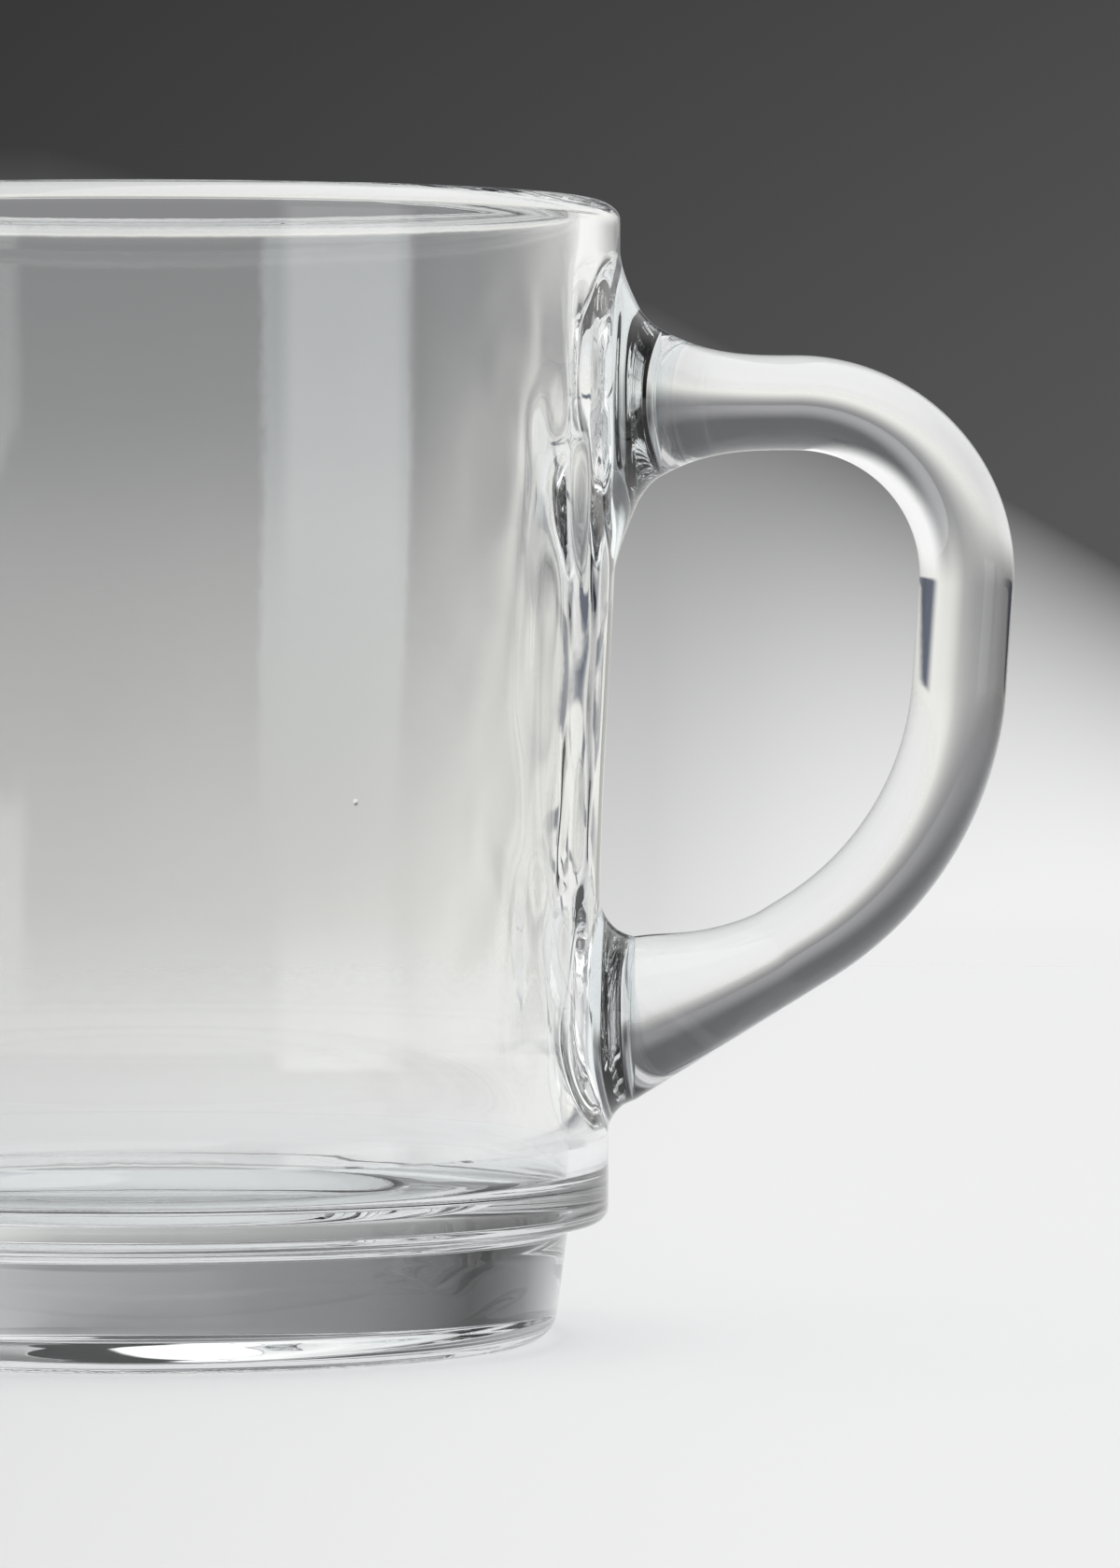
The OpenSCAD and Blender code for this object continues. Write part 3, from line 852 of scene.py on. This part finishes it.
class MUG_OT_handle(bpy.types.Operator):
    """Build the handle's rod from the upper pad round to the lower one"""

    bl_idname = "mug.handle"
    bl_label = "Handle"

    def execute(self, context):
        m = context.scene.mug
        path, lean = rod_path(m), m.handle.grip_lean
        upper_turns = np.linspace(pi / 2, -lean, 56)[1:]
        lower_turns = np.linspace(-lean, m.handle.lower_slope - pi / 2, 50)[1:]
        rings = np.concatenate([section_points(m, *(part[:, None] for part in stations)) for stations in (
            upper_stations(m, path, np.linspace(0, path.upper_arm_len, 30)),
            bend_stations(m, path.upper_centre, path.upper_r, upper_turns),
            grip_stations(m, path, np.linspace(0, 1, 18)[1:]),
            bend_stations(m, path.lower_centre, path.lower_r, lower_turns),
            lower_stations(m, path, np.linspace(path.lower_arm_len, 0, 40)[1:]),
        )])
        patches = [patch(rings), disc(rings[0]), disc(rings[-1])]
        make_piece("bent_handle", patches, glass_and_joint(m.look, "rod"), "handle")
        return {"FINISHED"}


class MUG_OT_welds(bpy.types.Operator):
    """Build the two pads of glass that fuse the handle to the wall"""

    bl_idname = "mug.welds"
    bl_label = "Weld pads"

    def execute(self, context):
        m = context.scene.mug
        for name, weld in zip(("upper_weld", "lower_weld"), weld_parts(m)):
            patches = [patch(weld.skin), patch(weld.covered, JOINT), disc(weld.skin[0])]
            make_piece(name, patches, glass_and_joint(m.look, "pad"), f"{name}_pad")
        return {"FINISHED"}


def floor_material(look):
    """Pale matt table with painted shade, a little darker on the left away from the light, that fades away at
    its edge.
    """
    material, wire, out = new_material("pale_table")
    x, y, _ = wire.parts(wire.place())
    # Painted shade: the table darkens from the lit right towards the left
    colour = wire.mix(wire.rise(x, -0.06, 0.06), look.table_far, look.table_tone)
    paper = wire.node("BsdfDiffuse", {"Color": colour}).outputs[0]
    clear = wire.node("BsdfTransparent").outputs[0]
    reach = wire.math("SQRT", wire.math("ADD", wire.math("MULTIPLY", x, x), wire.math("MULTIPLY", y, y)))
    fade = wire.rise(reach, look.floor_r, look.floor_r * 6)
    wire.feed(out, wire.node("MixShader", {0: fade, 1: paper, 2: clear}).outputs[0])
    return material


def even(value):
    """A grey of one value."""
    return (value,) * 3


def backdrop_colour(wire, look, azimuth, elevation):
    """What the camera sees behind the mug: a dark backdrop, painted shade for the studio sweep falling into
    shadow, and the pale table, with a soft painted shadow edge that falls to the right. Below it the tone
    rises as one less the square of what is left of a ramp."""
    edge = wire.line(azimuth, BACK_EDGE)
    ramp = wire.math("MULTIPLY", wire.math("SUBTRACT", edge, elevation), wire.line(azimuth, BACK_RATE))
    left_over = wire.math("SUBTRACT", 1, wire.math("MINIMUM", wire.math("MAXIMUM", ramp, 0), 1))
    lit = wire.math("SUBTRACT", 1, wire.math("MULTIPLY", left_over, left_over))
    # Painted shade: the backdrop is darker higher up and towards the left
    shade = wire.math("MULTIPLY", wire.line(elevation, BACK_SHADE_HEIGHT), wire.line(azimuth, BACK_SHADE_ACROSS))
    return wire.mix(lit, wire.scaled(look.wall_tone, shade), look.table_tone)


def room_colour(wire, look, direction, azimuth, elevation, surfaces):
    """What the glass shows: a pale table below, and above it a dark room behind and on the left, a lit card
    on the right, a soft box beside the camera and one overhead. The surfaces are how many the light passed."""
    # The room behind, the left side and the card, whose edge slants
    lift = wire.math("MULTIPLY", wire.line(azimuth, ROOM_LIFT), wire.rise(elevation, 2.5, 2.9))
    shade = wire.math("MULTIPLY", wire.line(azimuth, ROOM_SHADE), wire.math("ADD", lift, 1))
    far = wire.mix(wire.rise(azimuth, -55, -28, 1, 0), look.high_tone, look.left_tone)
    room = wire.mix(wire.rise(elevation, 4, 13), wire.scaled(look.room_tone, shade), far)
    slanted = wire.math("ADD", azimuth, wire.math("MULTIPLY", elevation, 0.24))
    room = wire.mix(wire.rise(slanted, 15.7, 30.4), room, look.card_tone)
    above = wire.rise(elevation, wire.line(azimuth, TABLE_END), wire.line(azimuth, ROOM_START))
    colour = wire.mix(above, look.low_tone, room)

    # A faint light strip far behind the mug, which shows only through both sides of the wall
    strip = wire.window(azimuth, elevation, *STRIP_WINDOW)
    behind = wire.math("MULTIPLY", strip, wire.math("GREATER_THAN", surfaces, 3.5))
    colour = wire.vector("ADD", {0: colour, 1: wire.scaled(look.strip_tone, behind)})

    # The dark edge of the table on the right, and the right side
    colour = wire.mix(wire.window(azimuth, elevation, *EDGE_WINDOW), colour, look.edge_tone)
    side = wire.mix(wire.rise(elevation, -1, 2.4), look.right_low, look.right_tone)
    colour = wire.mix(wire.rise(azimuth, 56, 88), colour, side)

    # The front, with its soft box
    front = wire.mix(wire.rise(elevation, -7, 0), even(0.85), look.front_tone)
    front = wire.mix(wire.rise(elevation, 1, 25), front, look.front_high)
    front = wire.mix(wire.window(azimuth, elevation, *BOX_WINDOW), front, even(look.soft_box))
    colour = wire.mix(wire.rise(wire.math("ABSOLUTE", azimuth), 96, 104), colour, front)

    # Overhead, with a soft box from the middle to the right
    x, y, _ = wire.parts(direction)
    lit = wire.rise(wire.math("SUBTRACT", x, wire.math("MULTIPLY", y, 0.35)), -0.145, -0.105)
    overhead = wire.mix(lit, even(0.04), even(look.top_box))
    return wire.mix(wire.rise(elevation, 42, 52), colour, overhead)


def paint_studio(scene, look):
    """The studio by direction, in degrees: azimuth is 0 behind the mug and 90 to its right. The camera sees
    the backdrop, the glass the room, and the matt table gets an even light."""
    world = bpy.data.worlds.new("soft_studio")
    scene.world = world
    world.use_nodes = True
    world.node_tree.nodes.clear()
    wire = Wiring(world.node_tree)
    direction = wire.node("TexCoord").outputs["Generated"]
    x, y, z = wire.parts(direction)
    azimuth = wire.math("DEGREES", wire.math("ARCTAN2", x, y))
    elevation = wire.math("DEGREES", wire.math("ARCSINE", z))
    light_path = wire.node("LightPath").outputs
    room = room_colour(wire, look, direction, azimuth, elevation, light_path["Transmission Depth"])
    seen = wire.mix(light_path["Is Camera Ray"], room, backdrop_colour(wire, look, azimuth, elevation))
    shown = wire.node("Background", {"Color": seen, "Strength": 1.0}).outputs[0]
    soft = wire.node("Background", {"Color": (1.0, 1.0, 1.0, 1.0), "Strength": 1.0}).outputs[0]
    after_matt = wire.math("GREATER_THAN", light_path["Diffuse Depth"], 0.5)
    matt = wire.math("MAXIMUM", light_path["Is Diffuse Ray"], after_matt)
    both = wire.node("MixShader", {0: matt, 1: shown, 2: soft}).outputs[0]
    wire.node("OutputWorld", {"Surface": both})


def place_camera(scene):
    """A long lens at the photograph's place: a little above the middle of the mug, straight ahead."""
    camera = bpy.data.objects.new("camera", bpy.data.cameras.new("camera"))
    camera.data.lens = CAMERA_LENS
    camera.location = CAMERA_EYE * MM
    camera.rotation_euler = (CAMERA_AIM - CAMERA_EYE).to_track_quat("-Z", "Y").to_euler()
    scene.collection.objects.link(camera)
    scene.camera = camera


class MUG_OT_studio(bpy.types.Operator):
    """Set up the camera, the pale table and the soft studio"""

    bl_idname = "mug.studio"
    bl_label = "Studio"

    def execute(self, context):
        scene, look = context.scene, context.scene.mug.studio
        scene.view_settings.view_transform = "Standard"
        cycles = scene.cycles
        cycles.max_bounces = cycles.transmission_bounces = 40
        cycles.glossy_bounces = 24
        cycles.transparent_max_bounces = 64
        cycles.blur_glossy = 0.0
        place_camera(scene)
        paint_studio(scene, look)
        mesh = bpy.data.meshes.new("table")
        corners = np.array([(-1, -1, 0), (1, -1, 0), (1, 1, 0), (-1, 1, 0)]) * TABLE_HALF
        mesh.from_pydata(corners, [], [(0, 1, 2, 3)])
        mesh.materials.append(floor_material(look))
        table = bpy.data.objects.new("table", mesh)
        scene.collection.objects.link(table)
        return {"FINISHED"}


class MugSettings(bpy.types.PropertyGroup):
    """All settings of the mug."""

    bowl: PointerProperty(type=MugBowlSizes)
    base: PointerProperty(type=MugBaseSizes)
    handle: PointerProperty(type=MugHandleSizes)
    weld: PointerProperty(type=MugWeldSizes)
    look: PointerProperty(type=MugGlassLook)
    studio: PointerProperty(type=MugStudioLook)


BUILD_ORDER = (MUG_OT_studio, MUG_OT_bowl, MUG_OT_base, MUG_OT_handle, MUG_OT_welds)


class MUG_PT_panel(bpy.types.Panel):
    """Settings and build steps of the mug"""

    bl_label = "Glass mug"
    bl_idname = "MUG_PT_panel"
    bl_space_type = "VIEW_3D"
    bl_region_type = "UI"
    bl_category = "Glass mug"

    def draw(self, context):
        for operator in BUILD_ORDER:
            self.layout.operator(operator.bl_idname)
        for part in MugSettings.__annotations__:
            group = getattr(context.scene.mug, part)
            box = self.layout.box()
            box.label(text=part.capitalize())
            for name in type(group).__annotations__:
                box.prop(group, name)


CLASSES = (
    MugBowlSizes, MugBaseSizes, MugHandleSizes, MugWeldSizes, MugGlassLook, MugStudioLook, MugSettings,
    *BUILD_ORDER, MUG_PT_panel,
)


def register():
    for part in CLASSES:
        bpy.utils.register_class(part)
    bpy.types.Scene.mug = PointerProperty(type=MugSettings)


def unregister():
    del bpy.types.Scene.mug
    for part in reversed(CLASSES):
        bpy.utils.unregister_class(part)


def main():
    """Builds the studio and every piece."""
    register()
    for operator in BUILD_ORDER:
        getattr(bpy.ops.mug, operator.bl_idname.split(".")[1])()


if __name__ == "__main__":
    main()
